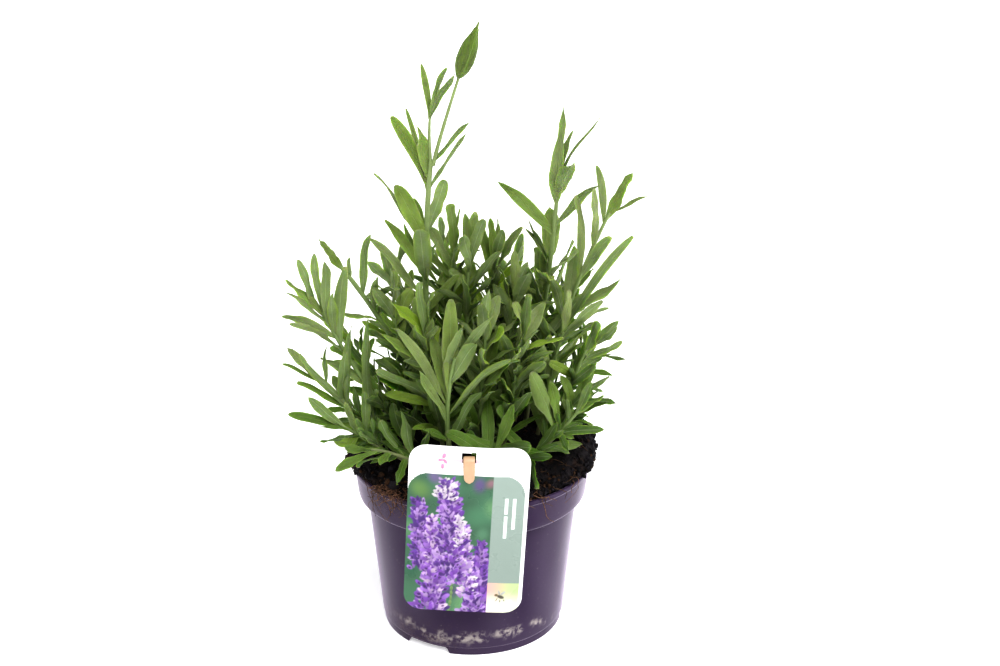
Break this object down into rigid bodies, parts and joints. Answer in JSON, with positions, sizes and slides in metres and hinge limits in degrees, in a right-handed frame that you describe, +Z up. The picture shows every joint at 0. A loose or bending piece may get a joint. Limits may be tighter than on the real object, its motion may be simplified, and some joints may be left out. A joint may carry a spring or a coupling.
{
  "type": "potted lavender",
  "caption": "Young lavender plant with upright leafy shoots and a closed flower bud, in a tapered nursery pot of peat soil with a hanging care label.",
  "frame": {"origin": "middle of the underside of the pot, on the surface that it stands on", "axes": "+Z up along the pot's axis, -Y towards the side with the label"},
  "size_m": [0.19, 0.1504, 0.329],
  "materials": {
    "pot_plastic": "dark purple-grey thermoformed plastic, satin sheen, dried soil marks near the foot",
    "peat_soil": "dark crumbly damp peat with a few pale specks and reddish roots",
    "printed_card": "white plastic card with a glossy printed picture of lavender flowers",
    "peg_plastic": "tan plastic, slightly translucent",
    "bud_green": "downy yellow-green bracts",
    "foliage": "matt mid-green leaves with a paler downy grey-green underside"
  },
  "bodies": {
    "root": {"pot": "pot_plastic", "soil": "peat_soil", "label_card": "printed_card", "label_peg": "peg_plastic", "flower_bud": "bud_green", "shoot_tall_left": "foliage", "shoot_tall_right": "foliage", "shoot_right_arch": "foliage", "shoot_right_mid": "foliage", "shoot_right_upright": "foliage", "shoot_right_low": "foliage", "shoot_front_right": "foliage", "shoot_front_centre": "foliage", "shoot_left_arch": "foliage", "shoot_left_branch": "foliage", "shoot_left_low": "foliage", "shoot_left_bottom": "foliage", "shoot_front_left": "foliage", "shoot_centre_a": "foliage", "shoot_centre_b": "foliage", "shoot_centre_c": "foliage", "shoot_centre_d": "foliage", "shoot_front_low": "foliage", "shoot_inner_front_a": "foliage", "shoot_inner_front_b": "foliage", "shoot_inner_front_c": "foliage", "shoot_inner_left": "foliage", "shoot_inner_right": "foliage", "shoot_back_a": "foliage", "shoot_back_b": "foliage", "shoot_back_c": "foliage", "shoot_back_d": "foliage", "shoot_back_low_left": "foliage", "shoot_back_low_mid": "foliage", "shoot_back_low_right": "foliage"}
  },
  "joints": []
}
